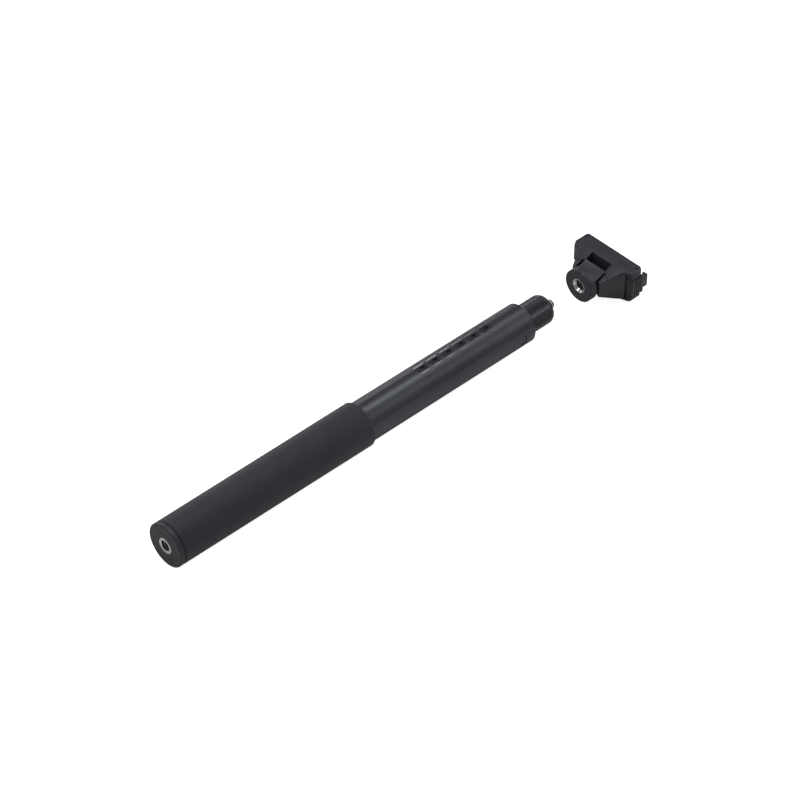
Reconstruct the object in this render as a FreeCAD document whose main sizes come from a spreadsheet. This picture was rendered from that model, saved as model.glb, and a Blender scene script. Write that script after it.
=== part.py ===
import FreeCAD, Part
import os
import re
import Sketcher

# A telescopic selfie stick, lying along +X, with its camera adapter off the stud and in line with it.
# The origin is the centre of the base's flat end, on the rod's axis. Millimetres throughout.

doc = FreeCAD.newDocument("selfie_stick")
sheet = doc.addObject("Spreadsheet::Sheet", "Dims")

SECTIONS = range(2, 8)      # the six inner tubes, numbered from the outside in
RIBS = range(4)             # the grooves across the outside of a release lever's block
SIDES = ((1, "left"), (-1, "right"))
UP_AND_DOWN = ((1, "top"), (-1, "bottom"))
CLOSE = 0.01                # an edge this near to a place lies on it
LEAST_CUT = 0.001           # a pocket that takes away less than this misses the piece

DRIVING = {
    # base end: a round cap with a steel tripod socket
    "cap_radius": 14.0,
    "cap_rim": 0.9,
    "cap_rim_step": 0.27,
    "cap_flange": 2.8,
    "cap_groove": 0.8,
    "cap_groove_radius": 13.3,
    "cap_spigot": 13.0,
    "socket_radius": 5.2,
    "socket_length": 12.0,
    "thread_radius": 3.175,
    "bumper_length": 3.1,
    "bumper_gap": 0.6,
    # the sleeve that the hand holds
    "grip_end": 145.0,
    "grip_back_radius": 14.0,
    "grip_front_radius": 14.3,
    "grip_edge": 0.9,
    # the outer tube, and the neck that guides the first inner tube
    "tube_radius": 12.75,
    "tube_wall": 0.8,
    "mouth": 276.0,
    "mouth_chamfer": 0.4,
    "neck_length": 24.0,
    # the inner tubes, each a step smaller than the one it slides in
    "section_radius": 11.25,
    "section_step": 1.3,
    "section_wall": 0.5,
    "section_back": 20.0,
    "running_gap": 0.05,
    "bush_length": 31.7,
    "bush_lip": 1.0,
    "ring_start": 9.0,
    "ring_length": 12.0,
    "ring_depth": 0.35,
    "ring_strip": 0.28,
    "ring_arc": 318.0,
    # the head: ferrule, camera stud and knurled wheel
    "ferrule_spigot": 26.0,
    "ferrule_bore": 2.6,
    "ferrule_counterbore": 3.6,
    "ferrule_counterbore_depth": 12.0,
    "journal_radius": 6.0,
    "journal_length": 12.0,
    "wheel_gap": 0.4,
    "wheel_radius": 9.7,
    "wheel_face": 295.5,
    "wheel_chamfer": 1.0,
    "wheel_chamfer_length": 1.5,
    "wheel_back_chamfer": 0.4,
    "flange_set_back": 0.4,
    "wheel_web": 6.5,
    "stud_radius": 3.1,
    "stud_tip": 301.8,
    "stud_point": 0.7,
    "stud_shank": 2.55,
    "stud_flange": 4.6,
    "stud_shoulder": 3.6,
    "stud_flange_length": 3.1,
    "stud_tail": 1.2,
    "clip_play": 0.35,
    "clip_arc": 300.0,
    "clip_groove": 2.0,
    "clip_thick": 0.7,
    "clip_radius": 3.3,
    "washer_inner": 2.8,
    "washer_outer": 5.6,
    "washer_cone": 0.6,
    "washer_strip": 0.3,
    # the adapter, whose own numbers count from the face of its round boss
    "adapter_station": 324.7,
    "boss_radius": 10.9,
    "boss_length": 5.0,
    "boss_rim": 0.2,
    "face_ring_radius": 10.4,
    "face_ring_thick": 1.3,
    "face_ring_edge": 0.3,
    "insert_radius": 4.85,
    "insert_length": 13.0,
    "insert_mouth_radius": 4.5,
    "insert_mouth_depth": 1.8,
    "core_half_width": 8.2,
    "core_low": 5.0,
    "core_step": 14.5,
    "core_step_height": 8.1,
    "recess_floor": 2.5,
    "slope_start": 20.0,
    "plate_start": 21.4,
    "plate_split": 29.0,
    "plate_end": 31.0,
    "plate_half_width": 24.2,
    "plate_half_height": 10.9,
    "plate_corner": 3.0,
    "shoulder_back": 13.6,
    "shoulder_tip": 10.7,
    "shoulder_thick": 1.2,
    "shoulder_gap": 0.3,
    "web_outer": 8.85,
    "slot_start": 14.6,
    "slot_half_height": 6.6,
    "seat_pad_end": 31.6,
    "seat_half_width": 11.0,
    "seat_half_height": 8.6,
    "seat_bed": 0.6,
    "magnet_radius": 3.5,
    "magnet_place": 7.0,
    "magnet_start": 26.0,
    "magnet_thick": 2.8,
    "magnet_slack": 0.05,
    "screw_out": 14.0,
    "screw_up": 8.6,
    "screw_radius": 0.8,
    "screw_head": 1.45,
    "screw_sink": 0.8,
    "screw_start": 25.0,
    "screw_slack": 0.1,
    "screw_hole_extra": 0.5,
    # the two release levers on their pins
    "pin_along": 27.6,
    "pin_out": 21.4,
    "pin_radius": 1.0,
    "pin_half": 10.0,
    "lever_bore": 1.05,
    "leg_tip": 6.4,
    "leg_inner": 9.9,
    "leg_front": 20.4,
    "leg_tip_half": 5.4,
    "leg_under": 0.15,
    "leg_tip_outer": 11.5,
    "leg_bend": 17.4,
    "leg_bend_outer": 16.7,
    "scoop_radius": 5.0,
    "scoop_along": 15.8,
    "scoop_out": 21.3,
    "neck_start": 19.4,
    "neck_outer": 18.6,
    "block_start": 21.6,
    "block_inner": 15.4,
    "block_outer": 25.0,
    "block_end": 30.6,
    "block_half_height": 6.1,
    "rib_start": 23.0,
    "rib_step": 1.7,
    "rib_width": 0.8,
    "rib_depth": 0.45,
    "hook_inner": 21.6,
    "hook_lip": 20.2,
    "hook_outer": 24.4,
    "hook_catch": 34.0,
    "hook_end": 35.6,
    "hook_half_height": 3.9,
    "hook_nose": 0.4,
    "hook_bevel": 0.8,
    "spring_pocket": 2.3,
    "spring_half": 2.6,
    "spring_coil": 1.75,
    "spring_wire": 0.22,
    "spring_pitch": 0.9,
    "spring_rise": 2.7,
    "spring_end_gap": 0.1,
    # how far one block of a moulding runs into the next, and how far a cut runs past a surface
    "overlap": 0.6,
    "past": 1.0,
}

for row, (alias, number) in enumerate(DRIVING.items(), start=1):
    sheet.set(f"A{row}", alias)
    sheet.set(f"B{row}", str(number))
    sheet.setAlias(f"B{row}", alias)
doc.recompute()

parts = {}


def bound(text):
    """The same sum as the sheet's cells give it, every word in it being a cell's alias."""
    return re.sub(r"[a-z]\w*", r"Dims.\g<0>", str(text))


def number_of(owner, text):
    result = owner.evalExpression(bound(text))
    return float(getattr(result, "Value", result))


def new_body(node):
    body = doc.addObject("PartDesign::Body", node)
    body.Label = node
    parts[node] = body
    return body


def outline(body, name, plane, corners, lift="0"):
    """A closed outline on one of the body's own planes, each corner held by its two distances."""
    sketch = body.newObject("Sketcher::SketchObject", f"{body.Name}_{name}_outline")
    datum = next(item for item in body.Origin.OriginFeatures if item.Role == plane)
    sketch.AttachmentSupport = (datum, [""])
    sketch.MapMode = "FlatFace"
    sketch.setExpression("AttachmentOffset.Base.z", bound(lift))
    points = [FreeCAD.Vector(number_of(sketch, u), number_of(sketch, v), 0) for u, v in corners]
    for here, there in zip(points, points[1:] + points[:1]):
        sketch.addGeometry(Part.LineSegment(here, there), False)
    for k in range(len(points)):
        sketch.addConstraint(Sketcher.Constraint("Coincident", k, 2, (k + 1) % len(points), 1))
    for k, pair in enumerate(corners):
        for kind, text, size in zip(("DistanceX", "DistanceY"), pair, (points[k].x, points[k].y)):
            index = sketch.addConstraint(Sketcher.Constraint(kind, -1, 1, k, 1, size))
            sketch.setExpression(f"Constraints[{index}]", bound(text))
    return sketch


def circle(body, name, plane, centre, radius, lift="0"):
    """One round outline on one of the body's own planes."""
    sketch = body.newObject("Sketcher::SketchObject", f"{body.Name}_{name}_outline")
    datum = next(item for item in body.Origin.OriginFeatures if item.Role == plane)
    sketch.AttachmentSupport = (datum, [""])
    sketch.MapMode = "FlatFace"
    sketch.setExpression("AttachmentOffset.Base.z", bound(lift))
    middle = FreeCAD.Vector(number_of(sketch, centre[0]), number_of(sketch, centre[1]), 0)
    size = number_of(sketch, radius)
    sketch.addGeometry(Part.Circle(middle, FreeCAD.Vector(0, 0, 1), size), False)
    sketch.addConstraint(Sketcher.Constraint("Radius", 0, size))
    sketch.setExpression("Constraints[0]", bound(radius))
    for kind, text, place in zip(("DistanceX", "DistanceY"), centre, (middle.x, middle.y)):
        index = sketch.addConstraint(Sketcher.Constraint(kind, -1, 1, 0, 3, place))
        sketch.setExpression(f"Constraints[{index}]", bound(text))
    return sketch


def turned(node, profile, arc="360"):
    """A piece turned about the X axis, its profile given as (along, radius) corners."""
    body = new_body(node)
    turn = body.newObject("PartDesign::Revolution", f"{node}_turn")
    turn.Profile = outline(body, "turn", "XY_Plane", profile)
    turn.ReferenceAxis = (turn.Profile[0], ["H_Axis"])
    turn.setExpression("Angle", bound(arc))
    return body


def pad(body, name, plane, corners, length, lift="0"):
    """Material from an outline that is lifted off its plane, along the plane's normal."""
    feature = body.newObject("PartDesign::Pad", f"{body.Name}_{name}")
    feature.Profile = outline(body, name, plane, corners, lift)
    feature.setExpression("Length", bound(length))
    return feature


def both_ways(body, name, plane, corners, half):
    """Material as far to one side of the plane as to the other."""
    return pad(body, name, plane, corners, f"2 * ({half})", f"-({half})")


def cut(body, name, sketch, length):
    """A pocket that runs from its outline along the plane's normal, and must take material away."""
    doc.recompute()
    before = body.Tip.Shape.Volume
    feature = body.newObject("PartDesign::Pocket", f"{body.Name}_{name}")
    feature.Profile = sketch
    feature.setExpression("Length", bound(length))
    feature.Reversed = True
    doc.recompute()
    if not feature.Shape.Volume < before - LEAST_CUT:
        raise RuntimeError(f"{feature.Name} cuts nothing")
    return feature


def rounded(body, radius, chosen):
    """A fillet on the edges of the body so far that the test picks out."""
    doc.recompute()
    base = body.Tip
    names = [f"Edge{k}" for k, edge in enumerate(base.Shape.Edges, start=1) if chosen(edge)]
    feature = body.newObject("PartDesign::Fillet", f"{base.Name}_round")
    feature.Base = (base, names)
    feature.setExpression("Radius", bound(radius))
    doc.recompute()
    return feature


def rectangle(low_u, high_u, low_v, high_v):
    return [(low_u, low_v), (high_u, low_v), (high_u, high_v), (low_u, high_v)]


def section_radius(k):
    """Outside radius of inner tube k, as a sum of the sheet's cells."""
    return f"(section_radius - {k - 2} * section_step)"


def bore_radius(k):
    """Inside radius of tube k, tube 1 being the outer one."""
    return "(tube_radius - tube_wall)" if k == 1 else f"({section_radius(k)} - section_wall)"


def plate_corner_edge(edge):
    """The four edges along X at the plate's corners."""
    box = edge.BoundBox
    along = box.YLength < CLOSE and box.ZLength < CLOSE
    return along and abs(box.YMin) > sheet.plate_half_width - CLOSE


def leg_top(along, less="0"):
    """Height of the sloping top that the body's shoulders and the levers' legs share, at a place along X."""
    rise = "(plate_half_height - leg_tip_half) / (leg_front - leg_tip)"
    return f"(leg_tip_half + ({along} - leg_tip) * {rise} - ({less}))"


def leg_side(along):
    """How far out the shoulders' and the legs' slanting sides are, at a place along X."""
    return f"(leg_tip_outer + ({along} - leg_tip) * (leg_bend_outer - leg_tip_outer) / (leg_bend - leg_tip))"


def above_slope(up, start, less="0"):
    """Outline of everything above the sloping top, or below its mirror image, up to the legs' front."""
    beyond = f"{up} * (plate_half_height + past)"
    return [(start, f"{up} * {leg_top(start, less)}"), (start, beyond), ("leg_front", beyond),
            ("leg_front", f"{up} * {leg_top('leg_front', less)}")]


def cut_from_side(body, name, side, corners, inner):
    """Cuts an outline away on one side of the adapter, from beyond its end in as far as inner."""
    reach = "(plate_half_width + past)"
    lift = f"-{reach}" if side > 0 else inner
    cut(body, name, outline(body, name, "XZ_Plane", corners, lift), f"{reach} - {inner}")


def cut_down_through(body, name, centre, radius):
    """A round hole straight down through the whole height of the adapter."""
    cut(body, name, circle(body, name, "XY_Plane", centre, radius, "-(plate_half_height + past)"),
        "2 * (plate_half_height + past)")


def cut_scoop(body, side, tag):
    """The round finger scoop at one end of the adapter, which the body and the lever share."""
    cut_down_through(body, f"scoop_{tag}", ("scoop_along", f"{side} * scoop_out"), "scoop_radius")


def cut_lever_slot(body, side, tag):
    """The slot in one end of the plate, open outwards, that a lever's block stands in."""
    ends = (f"{side} * slot_start", f"{side} * (plate_half_width + past)")
    low, high = ends if side > 0 else ends[::-1]
    slot = outline(body, f"slot_{tag}", "YZ_Plane",
                   rectangle(low, high, "-slot_half_height", "slot_half_height"), "plate_start - past")
    cut(body, f"slot_{tag}", slot, "plate_end - plate_start + 2 * past")


plate_outline = rectangle("-plate_half_width", "plate_half_width", "-plate_half_height", "plate_half_height")


# Base cap: a flange, a shadow groove and a spigot glued into the tube, with a blind hole for the socket.
groove_end = "(cap_flange + cap_groove)"
spigot_end = f"({groove_end} + cap_spigot)"
turned("base_cap", [
    ("0", "socket_radius"), ("0", "cap_radius - cap_rim"), ("cap_rim_step", "cap_radius - cap_rim_step"),
    ("cap_rim", "cap_radius"), ("cap_flange", "cap_radius"), ("cap_flange", "cap_groove_radius"),
    (groove_end, "cap_groove_radius"), (groove_end, f"{bore_radius(1)} - running_gap"),
    (spigot_end, f"{bore_radius(1)} - running_gap"), (spigot_end, "0"),
    ("socket_length", "0"), ("socket_length", "socket_radius"),
])

# Tripod socket: a steel insert with a quarter-inch thread, moulded into the cap.
turned("tripod_socket_insert", [
    ("0", "thread_radius"), ("0", "socket_radius"),
    ("socket_length", "socket_radius"), ("socket_length", "thread_radius"),
])

# Rubber bumper on the inside of the cap, where the closed inner tubes come to rest.
turned("end_bumper", [
    (spigot_end, "0"), (spigot_end, f"{bore_radius(1)} - bumper_gap"),
    (f"{spigot_end} + bumper_length", f"{bore_radius(1)} - bumper_gap"),
    (f"{spigot_end} + bumper_length", "0"),
])

# Outer tube, from the cap to the mouth, necked in at the mouth to guide the first inner tube.
turned("outer_tube", [
    (groove_end, bore_radius(1)), (groove_end, "tube_radius"),
    ("mouth - mouth_chamfer", "tube_radius"), ("mouth", "tube_radius - mouth_chamfer"),
    ("mouth", f"{section_radius(2)} + running_gap"),
    ("mouth - neck_length", f"{section_radius(2)} + running_gap"), ("mouth - neck_length", bore_radius(1)),
])

# Grip sleeve: rubber, pulled over the tube, a little fatter towards the front.
turned("grip_sleeve", [
    (groove_end, "tube_radius"), (groove_end, "grip_back_radius - grip_edge"),
    (f"{groove_end} + grip_edge", "grip_back_radius"),
    ("grip_end - grip_edge", "grip_front_radius"), ("grip_end", "grip_front_radius - grip_edge"),
    ("grip_end", "tube_radius"),
])

# Inner tubes. Each has a neck for the next tube at its mouth, a plastic bush on its back end that
# slides in the tube outside, and a split bronze ring in the bush that rubs and holds it where it is set.
for k in SECTIONS:
    outside = section_radius(k)
    inside = bore_radius(k)
    sliding = f"({bore_radius(k - 1)} - running_gap)"
    back = "(section_back + bush_lip)"
    neck = [("mouth", f"{section_radius(k + 1)} + running_gap"),
            ("mouth - neck_length", f"{section_radius(k + 1)} + running_gap"),
            ("mouth - neck_length", inside)]
    if k == SECTIONS[-1]:
        neck = [("mouth", inside)]
    turned(f"section_{k}_tube", [(back, inside), (back, outside), ("mouth", outside)] + neck)

    ring_at = "(section_back + ring_start)"
    ring_to = "(section_back + ring_start + ring_length)"
    bush_end = "(section_back + bush_length)"
    turned(f"section_{k}_bush", [
        ("section_back", inside), ("section_back", sliding), (ring_at, sliding),
        (ring_at, f"{sliding} - ring_depth"), (ring_to, f"{sliding} - ring_depth"), (ring_to, sliding),
        (bush_end, sliding), (bush_end, outside), (back, outside), (back, inside),
    ])
    turned(f"section_{k}_friction_ring", [
        (f"{ring_at} + running_gap", f"{sliding} - ring_strip"), (f"{ring_at} + running_gap", sliding),
        (f"{ring_to} - running_gap", sliding), (f"{ring_to} - running_gap", f"{sliding} - ring_strip"),
    ], "ring_arc")

# Head ferrule: aluminium, pressed into the last tube, with a journal that the knurled wheel turns on.
innermost = bore_radius(SECTIONS[-1])
journal_end = "(mouth + journal_length)"
spigot_back = "(mouth - ferrule_spigot)"
counterbore_end = "(mouth - ferrule_spigot + ferrule_counterbore_depth)"
turned("head_ferrule", [
    (spigot_back, "ferrule_counterbore"), (spigot_back, innermost), ("mouth", innermost),
    ("mouth", "journal_radius"), (journal_end, "journal_radius"), (journal_end, "ferrule_bore"),
    (counterbore_end, "ferrule_bore"), (counterbore_end, "ferrule_counterbore"),
])

# Knurled wheel: runs on the journal and is pressed on the stud's flange, so the two turn together.
web_back = "(wheel_face - wheel_web)"
flange_back = "(wheel_face - wheel_web + flange_set_back)"
flange_end = f"({flange_back} + stud_flange_length)"
wheel_back = "(mouth + wheel_gap)"
turned("knurled_wheel", [
    (wheel_back, "journal_radius + running_gap"), (wheel_back, "wheel_radius - wheel_back_chamfer"),
    (f"{wheel_back} + wheel_back_chamfer", "wheel_radius"),
    ("wheel_face - wheel_chamfer_length", "wheel_radius"),
    ("wheel_face", "wheel_radius - wheel_chamfer"), ("wheel_face", "stud_shoulder"),
    (flange_end, "stud_shoulder"), (flange_end, "stud_flange"), (web_back, "stud_flange"),
    (web_back, "journal_radius + running_gap"),
])

# Camera stud: a quarter-inch steel screw with a flange in the wheel, a shank through the ferrule and a
# groove for the clip that keeps it in.
clip_front = f"({counterbore_end} - clip_play)"
clip_back = f"({clip_front} - clip_thick)"
turned("camera_stud", [
    (f"{clip_back} - stud_tail", "0"), (f"{clip_back} - stud_tail", "stud_shank"), (clip_back, "stud_shank"),
    (clip_back, "clip_groove"), (clip_front, "clip_groove"), (clip_front, "stud_shank"),
    (flange_back, "stud_shank"), (flange_back, "stud_flange"),
    (flange_end, "stud_flange"), (flange_end, "stud_shoulder"), ("wheel_face", "stud_shoulder"),
    ("wheel_face", "stud_radius"), ("stud_tip - stud_point", "stud_radius"),
    ("stud_tip", "stud_radius - stud_point"), ("stud_tip", "0"),
])
turned("stud_clip", [
    (f"{clip_back} + running_gap", "clip_groove"), (f"{clip_back} + running_gap", "clip_radius"),
    (f"{clip_front} - running_gap", "clip_radius"), (f"{clip_front} - running_gap", "clip_groove"),
], "clip_arc")
washer_back = f"({journal_end} + running_gap)"
turned("spring_washer", [
    (washer_back, "washer_outer"), (f"{washer_back} + washer_strip", "washer_outer"),
    (f"{washer_back} + washer_strip + washer_cone", "washer_inner"),
    (f"{washer_back} + washer_cone", "washer_inner"),
])

# Adapter body: a boss for the stud, a core between the levers, and a wide plate with a slot at each end.
body = turned("adapter_body", [
    ("face_ring_thick", "insert_radius"), ("face_ring_thick", "face_ring_radius"),
    ("boss_rim", "face_ring_radius"), ("boss_rim", "boss_radius"),
    ("boss_length", "boss_radius"), ("boss_length", "0"), ("insert_length", "0"),
    ("insert_length", "insert_radius"),
])
both_ways(body, "core", "XZ_Plane", [
    ("boss_length - overlap", "-core_low"), ("core_step", "-core_step_height"),
    ("core_step", "-recess_floor"), ("slope_start", "-recess_floor"),
    ("slope_start", f"-{leg_top('slope_start')}"),
    ("leg_front", "-plate_half_height"), ("plate_start + overlap", "-plate_half_height"),
    ("plate_start + overlap", "plate_half_height"), ("leg_front", "plate_half_height"),
    ("slope_start", leg_top("slope_start")), ("slope_start", "recess_floor"),
    ("core_step", "recess_floor"), ("core_step", "core_step_height"), ("boss_length - overlap", "core_low"),
], "core_half_width")
for side, tag in SIDES:
    # A shoulder beside the recess: a thin web and a roof, under which the lever's leg swings.
    both_ways(body, f"shoulder_{tag}", "XY_Plane", [
        ("shoulder_back", f"{side} * core_half_width"), ("shoulder_back", f"{side} * web_outer"),
        ("shoulder_tip", f"{side} * {leg_side('shoulder_tip')}"), ("leg_bend", f"{side} * leg_bend_outer"),
        ("leg_bend", f"{side} * scoop_out"), ("plate_start + overlap", f"{side} * scoop_out"),
        ("plate_start + overlap", f"{side} * core_half_width"),
    ], "plate_half_height")
    for up, edge in UP_AND_DOWN:
        cut_from_side(body, f"shoulder_{edge}_{tag}", side, above_slope(up, "leg_tip"), "core_half_width")
    under_tip = leg_top("leg_tip", "shoulder_thick")
    under_roof = "(plate_half_height - shoulder_thick)"
    cut_from_side(body, f"shoulder_inside_{tag}", side, [
        ("leg_tip", f"-{under_tip}"), ("leg_front", f"-{under_roof}"), ("plate_start", f"-{under_roof}"),
        ("plate_start", under_roof), ("leg_front", under_roof), ("leg_tip", under_tip),
    ], "web_outer")
pad(body, "plate", "YZ_Plane", plate_outline, "plate_split - plate_start", "plate_start")
rounded(body, "plate_corner", plate_corner_edge)
cut(body, "insert_hole", circle(
    body, "insert_hole", "YZ_Plane", ("0", "0"), "insert_radius"), "insert_length")
for side, tag in SIDES:
    cut_scoop(body, side, tag)
    cut_lever_slot(body, side, tag)
    cut_down_through(body, f"pin_hole_{tag}", ("pin_along", f"{side} * pin_out"), "pin_radius")
    magnet_at = (f"{side} * magnet_place", "0")
    cut(body, f"magnet_{tag}", circle(
        body, f"magnet_{tag}", "YZ_Plane", magnet_at, "magnet_radius + magnet_slack",
        "magnet_start - magnet_slack"), "plate_split - magnet_start + past")
    for up, edge in UP_AND_DOWN:
        name = f"screw_{tag}_{edge}"
        screw_at = (f"{side} * screw_out", f"{up} * screw_up")
        cut(body, name, circle(
            body, name, "YZ_Plane", screw_at, "screw_radius", "screw_start - screw_hole_extra",
        ), "plate_split - screw_start + past")

# Front cover of the plate: holds the magnets in and carries the seat pad.
cover = new_body("front_cover")
pad(cover, "plate", "YZ_Plane", plate_outline, "plate_end - plate_split", "plate_split")
rounded(cover, "plate_corner", plate_corner_edge)
bed = rectangle("-seat_half_width", "seat_half_width", "-seat_half_height", "seat_half_height")
cut(cover, "seat_bed", outline(cover, "seat_bed", "YZ_Plane", bed, "plate_end - seat_bed"), "past")
for side, tag in SIDES:
    cut_lever_slot(cover, side, tag)
    for up, edge in UP_AND_DOWN:
        name = f"screw_{tag}_{edge}"
        screw_at = (f"{side} * screw_out", f"{up} * screw_up")
        cut(cover, name, circle(
            cover, name, "YZ_Plane", screw_at, "screw_radius + screw_slack", "plate_split - past",
        ), "plate_end - plate_split + 2 * past")
        sunk = f"{name}_head"
        cut(cover, sunk, circle(
            cover, sunk, "YZ_Plane", screw_at, "screw_head + running_gap", "plate_end - screw_sink",
        ), "screw_sink + past")

# Seat pad: a thin rubber sheet in a bed in the cover, under the camera.
seat = new_body("seat_pad")
pad(seat, "sheet", "YZ_Plane", bed, "seat_pad_end - plate_end + seat_bed", "plate_end - seat_bed")

# Rubber ring on the boss's face, and the threaded steel insert inside it.
turned("boss_ring", [
    ("0", "insert_radius"), ("0", "face_ring_radius - face_ring_edge"),
    ("face_ring_edge", "face_ring_radius"), ("face_ring_thick", "face_ring_radius"),
    ("face_ring_thick", "insert_radius"),
])
turned("adapter_insert", [
    ("boss_rim", "insert_mouth_radius"), ("boss_rim", "insert_radius"), ("insert_length", "insert_radius"),
    ("insert_length", "thread_radius"), ("boss_rim + insert_mouth_depth", "thread_radius"),
])


def rod_along(name, start, length, radius, out="0", up="0"):
    """A plain round piece along X."""
    piece = doc.addObject("Part::Cylinder", name)
    piece.Placement.Rotation = FreeCAD.Rotation(FreeCAD.Vector(0, 1, 0), 90)
    for key, text in (("Radius", radius), ("Height", length),
                      ("Placement.Base.x", f"adapter_station + {start}"),
                      ("Placement.Base.y", out), ("Placement.Base.z", up)):
        piece.setExpression(key, bound(text))
    return piece


# Four small screws from the front hold the cover on the body.
screws = []
for side, tag in SIDES:
    for up, edge in UP_AND_DOWN:
        where = {"out": f"{side} * screw_out", "up": f"{up} * screw_up"}
        name = f"screw_{tag}_{edge}"
        screw = doc.addObject("Part::Fuse", name)
        screw.Base = rod_along(f"{name}_shank", "screw_start", "plate_end - screw_slack - screw_start",
                               "screw_radius", **where)
        screw.Tool = rod_along(f"{name}_head", "(plate_end - screw_sink)", "screw_sink - screw_slack",
                               "screw_head", **where)
        screws.append(screw)
group = doc.addObject("Part::Compound", "cover_screws")
group.Links = screws
group.Label = "cover_screws"
parts["cover_screws"] = group

ON_ADAPTER = ["adapter_body", "front_cover", "seat_pad", "boss_ring", "adapter_insert"]
for side, tag in SIDES:
    # Magnet that draws the camera onto the seat.
    magnet = rod_along(f"seat_magnet_{tag}", "magnet_start", "magnet_thick", "magnet_radius",
                       f"{side} * magnet_place")
    magnet.Label = f"seat_magnet_{tag}"
    parts[f"seat_magnet_{tag}"] = magnet

    # Release lever: a leg to press, a ribbed block in the plate's slot, and a hook over the camera's foot.
    # The leg is lower where it passes under the body's shoulder, and flush with its top behind it.
    lever = new_body(f"release_lever_{tag}")
    both_ways(lever, "leg", "XY_Plane", [
        ("leg_tip", f"{side} * leg_inner"), ("leg_front", f"{side} * leg_inner"),
        ("leg_front", f"{side} * scoop_out"), ("leg_bend", f"{side} * scoop_out"),
        ("leg_bend", f"{side} * leg_bend_outer"), ("leg_tip", f"{side} * leg_tip_outer"),
    ], "plate_half_height")
    for up, edge in UP_AND_DOWN:
        cut_from_side(lever, f"low_{edge}", side,
                      above_slope(up, "leg_tip - past", "shoulder_thick + leg_under"), "0")
    riser = "(shoulder_back - (leg_inner - web_outer) * (shoulder_back - shoulder_tip)" \
            f" / ({leg_side('shoulder_tip')} - web_outer))"
    both_ways(lever, "tip", "XY_Plane", [
        ("leg_tip", f"{side} * leg_inner"), (f"{riser} - shoulder_gap", f"{side} * leg_inner"),
        ("shoulder_tip - shoulder_gap", f"{side} * {leg_side('(shoulder_tip - shoulder_gap)')}"),
        ("leg_tip", f"{side} * leg_tip_outer"),
    ], "plate_half_height")
    for up, edge in UP_AND_DOWN:
        cut_from_side(lever, f"slope_{edge}", side, above_slope(up, "leg_tip - past"), "0")
    both_ways(lever, "neck", "XY_Plane", rectangle(
        "neck_start", "block_start + overlap", f"{side} * block_inner", f"{side} * neck_outer"),
        "block_half_height")
    cut_scoop(lever, side, tag)
    both_ways(lever, "block", "XY_Plane", rectangle(
        "block_start", "block_end", f"{side} * block_inner", f"{side} * block_outer"), "block_half_height")
    for k in RIBS:
        groove_at = f"rib_start + {k} * rib_step"
        cut(lever, f"rib_{k}", outline(lever, f"rib_{k}", "XY_Plane", rectangle(
            groove_at, f"{groove_at} + rib_width",
            f"{side} * (block_outer - rib_depth)", f"{side} * (block_outer + past)",
        ), "-(block_half_height + past)"), "2 * (block_half_height + past)")
    both_ways(lever, "hook", "XY_Plane", [
        ("block_end - overlap", f"{side} * hook_inner"), ("hook_catch", f"{side} * hook_inner"),
        ("hook_catch + hook_nose", f"{side} * hook_lip"),
        ("hook_end - hook_nose", f"{side} * (hook_lip + hook_nose)"),
        ("hook_end", f"{side} * hook_inner"), ("hook_end", f"{side} * (hook_outer - hook_bevel)"),
        ("hook_end - hook_bevel", f"{side} * hook_outer"), ("block_end - overlap", f"{side} * hook_outer"),
    ], "hook_half_height")
    cut(lever, "spring_pocket", outline(lever, "spring_pocket", "XY_Plane", rectangle(
        "pin_along - spring_pocket", "pin_along + spring_pocket",
        f"{side} * (block_inner - past)", f"{side} * (pin_out + spring_pocket)",
    ), "-spring_half"), "2 * spring_half")
    cut_down_through(lever, "bore", ("pin_along", f"{side} * pin_out"), "lever_bore")

    # Steel pin across the slot, pressed into the plate above and below it.
    pin = doc.addObject("Part::Cylinder", f"lever_pin_{tag}")
    for key, text in (("Radius", "pin_radius"), ("Height", "2 * pin_half"),
                      ("Placement.Base.x", "adapter_station + pin_along"),
                      ("Placement.Base.y", f"{side} * pin_out"), ("Placement.Base.z", "-pin_half")):
        pin.setExpression(key, bound(text))
    pin.Label = f"lever_pin_{tag}"
    parts[f"lever_pin_{tag}"] = pin

    # Torsion spring round the pin, with one end on the plate.
    spring = new_body(f"lever_spring_{tag}")
    coil = spring.newObject("PartDesign::AdditiveHelix", f"lever_spring_{tag}_coil")
    coil.Profile = circle(spring, "wire", "XZ_Plane", ("spring_coil", "0"), "spring_wire")
    coil.ReferenceAxis = (coil.Profile[0], ["V_Axis"])
    coil.Mode = "pitch-height-angle"
    coil.LeftHanded = side < 0
    coil.setExpression("Pitch", bound("spring_pitch"))
    coil.setExpression("Height", bound("spring_rise"))
    reach = "(pin_out - slot_start - spring_end_gap)"
    end = spring.newObject("PartDesign::Pad", f"lever_spring_{tag}_end")
    end.Profile = circle(spring, "end", "XZ_Plane", ("spring_coil", "0"), "spring_wire",
                         "0" if side > 0 else f"-{reach}")
    end.setExpression("Length", bound(reach))
    spring.setExpression("Placement.Base.x", bound("adapter_station + pin_along"))
    spring.setExpression("Placement.Base.y", bound(f"{side} * pin_out"))
    spring.setExpression("Placement.Base.z", bound("-spring_rise / 2"))
    ON_ADAPTER.append(f"release_lever_{tag}")

for node in ON_ADAPTER:
    parts[node].setExpression("Placement.Base.x", bound("adapter_station"))

doc.recompute()
for item in doc.Objects:
    if "Invalid" in item.State or "Error" in item.State:
        raise RuntimeError(f"{item.Name} has failed: {item.State}")
for node, piece in parts.items():
    if piece.Shape.isNull() or not piece.Shape.isValid():
        raise RuntimeError(f"{node} has no valid shape")

os.makedirs("parts", exist_ok=True)
for node, piece in parts.items():
    piece.Shape.exportStep(f"parts/{node}.step")
print(f"{len(parts)} sub-parts written")
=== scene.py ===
from math import cos, pi, radians, sin, sqrt

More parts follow.
